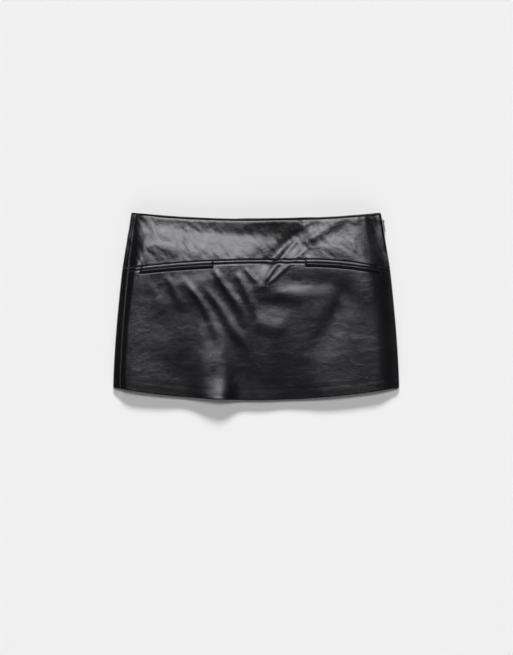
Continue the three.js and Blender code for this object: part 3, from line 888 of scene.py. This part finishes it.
# A copy of a CAD node with its edges softened.
def bevelledCopy(node, name):
    bm = bmesh.new()
    bm.from_mesh(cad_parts[node].data)
    bmesh.ops.remove_doubles(bm, verts=bm.verts, dist=1e-6)
    flatAngle = math.radians(zipMetal["flatAngle"])
    bmesh.ops.dissolve_limit(bm, angle_limit=flatAngle, verts=bm.verts, edges=bm.edges)
    mesh = meshFrom(bm, name)
    mesh.set_sharp_from_angle(angle=math.radians(zipMetal["sharpAngle"]))
    obj = addObject(name, mesh)
    bevel = obj.modifiers.new("soft edges", "BEVEL")
    bevel.width = zipMetal["bevel"] * mm
    bevel.segments = zipMetal["bevelSegments"]
    bevel.limit_method = "ANGLE"
    bevel.angle_limit = math.radians(zipMetal["bevelAngle"])
    return obj


slider = bevelledCopy("zip_slider", "zip_slider_metal")
pull = bevelledCopy("zip_pull", "zip_pull_metal")
print("zip made")


# Shader maths on sockets: an expression on values adds its Math nodes.
class Value:
    def __init__(self, finish, socket):
        self.finish = finish
        self.socket = socket

    def maths(self, operation, *values):
        sockets = dict(enumerate(values))
        return self.finish.node("ShaderNodeMath", {"operation": operation}, sockets)["Value"]

    def __add__(self, other):
        return self.maths("ADD", self, other)

    def __sub__(self, other):
        return self.maths("SUBTRACT", self, other)

    def __rsub__(self, other):
        return self.maths("SUBTRACT", other, self)

    def __mul__(self, other):
        return self.maths("MULTIPLY", self, other)

    def __pow__(self, other):
        return self.maths("POWER", self, other)

    def __abs__(self):
        return self.maths("ABSOLUTE", self)

    __radd__ = __add__
    __rmul__ = __mul__


# A node's outputs as values, by name or number.
class Outputs:
    def __init__(self, finish, made):
        self.finish = finish
        self.made = made

    def __getitem__(self, name):
        return Value(self.finish, self.made.outputs[name])


# One finish: its node() adds any node, with its settings set before its sockets.
class Finish:
    def __init__(self, name):
        self.material = bpy.data.materials.new(name)
        self.material.use_nodes = True
        self.tree = self.material.node_tree
        self.tree.nodes.clear()

    def node(self, kind, settings=None, sockets=None):
        made = self.tree.nodes.new(kind)
        for key, setting in (settings or {}).items():
            setattr(made, key, setting)
        for key, value in (sockets or {}).items():
            if isinstance(value, Value):
                self.tree.links.new(value.socket, made.inputs[key])
            else:
                made.inputs[key].default_value = value
        return Outputs(self, made)

    def surface(self, sockets):
        shader = self.node("ShaderNodeBsdfPrincipled", None, sockets)
        self.node("ShaderNodeOutputMaterial", None, {"Surface": shader["BSDF"]})
        return self.material


def objectPlace(finish):
    return finish.node("ShaderNodeTexCoord")["Object"]


def noise(finish, place, sockets):
    return finish.node("ShaderNodeTexNoise", None, {"Vector": place, **sockets})["Fac"]


# A Mix node's colours go into sockets 6 and 7, its factor into 0, and its colour comes out of 2.
def mixedColour(finish, share, look):
    sockets = {0: share, 6: look["dark"], 7: look["light"]}
    return finish.node("ShaderNodeMix", {"data_type": "RGBA"}, sockets)[2]


def bumped(finish, height):
    sockets = {"Height": height, "Distance": 1.0, "Strength": 1.0}
    return finish.node("ShaderNodeBump", None, sockets)["Normal"]


# Thin lines where a noise crosses its middle, thinner with more sharpness.
def thinLines(pattern, sharpness):
    return (1 - abs(pattern * 2 - 1)) ** sharpness


# Depths are in metres. The sockets of each noise stand under its name.
leatherLook = {
    "dark": (0.0024, 0.0026, 0.0030, 1),
    "light": (0.0042, 0.0044, 0.0052, 1),
    "roughness": 0.24,
    "weltRoughness": 0.22,
    "weltCreaseShare": 0.4,
    "broadRoughness": 0.08,
    "patchRoughness": 0.06,
    "grainRoughness": 0.02,
    "ior": 1.7,
    "shine": (0.95, 0.94, 1.0, 1),
    "grain": {"Scale": 850},
    "grainEdge": 0.35,
    "grainDepth": 0.00003,
    "fine": {"Scale": 2400, "Detail": 2},
    "fineDepth": 0.000012,
    "broad": {"Scale": 22, "Detail": 3},
    "patch": {"Scale": 130, "Detail": 4, "Roughness": 0.6},
    "patchDepth": 0.000162,
    "crease": {"Scale": 70, "Detail": 5, "Roughness": 0.62, "Distortion": 0.6},
    "creaseSharpness": 6,
    "creaseDepth": 0.00006,
    "wrinkle": {"Scale": 170, "Detail": 3, "Roughness": 0.5, "Distortion": 1.4},
    "wrinkleSharpness": 3,
    "wrinkleDepth": 0.00003,
}


def leatherFinish(name, roughness, creaseShare):
    look = leatherLook
    finish = Finish(name)
    place = objectPlace(finish)
    cellSockets = {"Vector": place, **look["grain"]}
    cells = finish.node("ShaderNodeTexVoronoi", {"feature": "DISTANCE_TO_EDGE"}, cellSockets)["Distance"]
    edgeSockets = {"Value": cells, "From Max": look["grainEdge"]}
    grain = finish.node("ShaderNodeMapRange", {"interpolation_type": "SMOOTHSTEP"}, edgeSockets)["Result"]
    fine = noise(finish, place, look["fine"])
    broad = noise(finish, place, look["broad"])
    patch = noise(finish, place, look["patch"])
    crease = thinLines(noise(finish, place, look["crease"]), look["creaseSharpness"])
    wrinkle = thinLines(noise(finish, place, look["wrinkle"]), look["wrinkleSharpness"])
    height = grain * look["grainDepth"] + fine * look["fineDepth"]
    height = height - crease * (look["creaseDepth"] * creaseShare)
    height = height + patch * (look["patchDepth"] * creaseShare)
    height = height - wrinkle * (look["wrinkleDepth"] * creaseShare)
    rough = roughness + (broad - 0.5) * look["broadRoughness"]
    rough = rough + (patch - 0.5) * look["patchRoughness"] - grain * look["grainRoughness"]
    return finish.surface(
        {
            "Base Color": mixedColour(finish, broad, look),
            "Roughness": rough,
            "Normal": bumped(finish, height),
            "IOR": look["ior"],
            "Specular Tint": look["shine"],
        }
    )


suedeLook = {
    "dark": (0.012, 0.012, 0.013, 1),
    "light": (0.022, 0.021, 0.022, 1),
    "nap": {"Scale": 1800, "Detail": 4},
    "napDepth": 0.0001,
    "broad": {"Scale": 60, "Detail": 3},
    "roughness": 0.9,
    "napRoughness": 0.1,
    "sheen": 0.1,
}


def suedeFinish():
    look = suedeLook
    finish = Finish("suede side")
    place = objectPlace(finish)
    nap = noise(finish, place, look["nap"])
    broad = noise(finish, place, look["broad"])
    return finish.surface(
        {
            "Base Color": mixedColour(finish, broad, look),
            "Roughness": look["roughness"] + (nap - 0.5) * look["napRoughness"],
            "Normal": bumped(finish, nap * look["napDepth"]),
            "Sheen Weight": look["sheen"],
        }
    )


threadLook = {
    "dark": (0.008, 0.008, 0.009, 1),
    "light": (0.016, 0.016, 0.018, 1),
    "twist": {"Scale": 3000, "Detail": 1},
    "twistDepth": 0.00005,
    "roughness": 0.5,
}


def threadFinish():
    look = threadLook
    finish = Finish("sewing thread")
    twist = noise(finish, objectPlace(finish), look["twist"])
    return finish.surface(
        {
            "Base Color": mixedColour(finish, twist, look),
            "Roughness": look["roughness"],
            "Normal": bumped(finish, twist * look["twistDepth"]),
        }
    )


enamelLook = {
    "dark": (0.014, 0.014, 0.015, 1),
    "light": (0.026, 0.026, 0.028, 1),
    "wear": {"Scale": 900, "Detail": 3},
    "wearDepth": 0.00002,
    "roughness": 0.24,
    "wearRoughness": 0.12,
    "metallic": 0.35,
    "coat": 0.4,
}


def enamelFinish():
    look = enamelLook
    finish = Finish("dark enamel")
    wear = noise(finish, objectPlace(finish), look["wear"])
    return finish.surface(
        {
            "Base Color": mixedColour(finish, wear, look),
            "Roughness": look["roughness"] + wear * look["wearRoughness"],
            "Metallic": look["metallic"],
            "Normal": bumped(finish, wear * look["wearDepth"]),
            "Coat Weight": look["coat"],
        }
    )


leather = leatherFinish("nappa leather", leatherLook["roughness"], 1.0)
weltLeather = leatherFinish("welt leather", leatherLook["weltRoughness"], leatherLook["weltCreaseShare"])
suede = suedeFinish()
thread = threadFinish()
enamel = enamelFinish()

for obj in (frontYoke, frontPanel, backYoke, backPanel):
    obj.data.materials.clear()
    obj.data.materials.append(leather)
    obj.data.materials.append(suede)
    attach(obj, "skirt")
for node, welt in welts.items():
    welt.data.materials.append(weltLeather)
    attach(welt, "skirt")
    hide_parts(node)
topstitching.data.materials.append(thread)
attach(topstitching, "skirt")
teeth.data.materials.append(enamel)
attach(teeth, "skirt")
for obj, node, body in ((slider, "zip_slider", "skirt"), (pull, "zip_pull", "pull")):
    obj.data.materials.append(enamel)
    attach(obj, body)
    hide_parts(node)
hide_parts("front_yoke")
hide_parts("front_panel")
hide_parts("back_yoke")
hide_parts("back_panel")
# Sizes are in metres and angles in degrees. A soft box's spread is what it spans, seen from the skirt.
studio = {
    "floorZ": -0.0006,
    "floorReach": 6,
    "floorColour": (0.91, 0.91, 0.91, 1),
    "floorRoughness": 0.9,
    "cameraPlace": (0.0005, -0.0337, 4.51),
    "sensorWidth": 36,
    "viewHeight": 4.5,
    "viewWidth": 1.048,
    "keyStrength": 3.25,
    "keySpread": 13,
    "keyFromZenith": 60,
    "keyDistance": 12,
    "softBoxes": {
        "narrow": {"spread": (19, 9), "level": 3.6, "distance": 11.6, "fromZenith": 18},
        "middle": {"spread": (27, 13), "level": 3.4, "distance": 12, "fromZenith": 18},
        "wide": {"spread": (42, 17), "level": 2.7, "distance": 12.4, "fromZenith": 18},
        "low": {"spread": (100, 30), "level": 1.3, "distance": 12, "fromZenith": -72},
    },
    "worldLevel": 0.03,
}


# Adds a light in the sky over the middle of the picture, turned towards the skirt.
def addLight(data, fromZenith, distance):
    angle = math.radians(fromZenith)
    place = (0, distance * math.sin(angle), distance * math.cos(angle))
    light = addObject(data.name, data)
    light.location = place
    light.rotation_euler = (-Vector(place)).to_track_quat("-Z", "Y").to_euler()
    return light


# A far soft box of an even brightness.
def addSoftBox(name, box):
    data = bpy.data.lights.new(name + " soft box", "AREA")
    data.shape = "RECTANGLE"
    across, along = (2 * box["distance"] * math.tan(math.radians(angle / 2)) for angle in box["spread"])
    data.size = across
    data.size_y = along
    data.energy = box["level"] * math.pi * across * along
    addLight(data, box["fromZenith"], box["distance"])


keyData = bpy.data.lights.new("key light", "SUN")
keyData.energy = studio["keyStrength"]
keyData.angle = math.radians(studio["keySpread"])
key = addLight(keyData, studio["keyFromZenith"], studio["keyDistance"])
key.visible_glossy = False
for name, box in studio["softBoxes"].items():
    addSoftBox(name, box)
world = bpy.data.worlds.new("studio")
world.use_nodes = True
background = world.node_tree.nodes["Background"]
background.inputs["Color"].default_value = (1, 1, 1, 1)
background.inputs["Strength"].default_value = studio["worldLevel"]
bpy.context.scene.world = world

bm = bmesh.new()
bmesh.ops.create_grid(bm, x_segments=1, y_segments=1, size=studio["floorReach"])
bmesh.ops.translate(bm, verts=bm.verts, vec=(0, 0, studio["floorZ"]))
floor = addObject("floor", meshFrom(bm, "floor"))
floorSockets = {"Base Color": studio["floorColour"], "Roughness": studio["floorRoughness"]}
floor.data.materials.append(Finish("pale floor").surface(floorSockets))

cameraData = bpy.data.cameras.new("camera")
cameraData.sensor_width = studio["sensorWidth"]
cameraData.lens = studio["sensorWidth"] * studio["viewHeight"] / studio["viewWidth"]
camera = addObject("camera", cameraData)
camera.location = studio["cameraPlace"]
bpy.context.scene.camera = camera
bpy.context.scene.view_settings.view_transform = "Standard"
print("studio ready")
